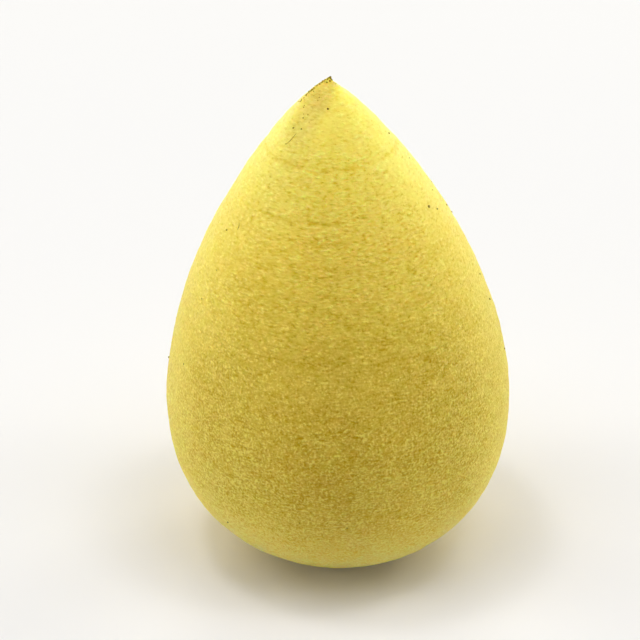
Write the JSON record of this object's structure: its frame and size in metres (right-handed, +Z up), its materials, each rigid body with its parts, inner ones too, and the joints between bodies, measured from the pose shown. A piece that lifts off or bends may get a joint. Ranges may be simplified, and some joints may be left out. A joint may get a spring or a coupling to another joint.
{
  "type": "makeup sponge",
  "caption": "Teardrop makeup sponge: a solid soft-foam applicator with a round base and a narrow tip, for dabbing and blending make-up.",
  "frame": {"origin": "centre of the flat face at the bottom of the base, on which the sponge stands", "axes": "+Z up along the sponge's axis, from the rest face to the tip; the sponge is round, so +X and +Y point any way"},
  "size_m": [0.0416, 0.0416, 0.06],
  "materials": {
    "foam": "matte"
  },
  "bodies": {
    "root": {"foam_body": "foam"}
  },
  "joints": []
}
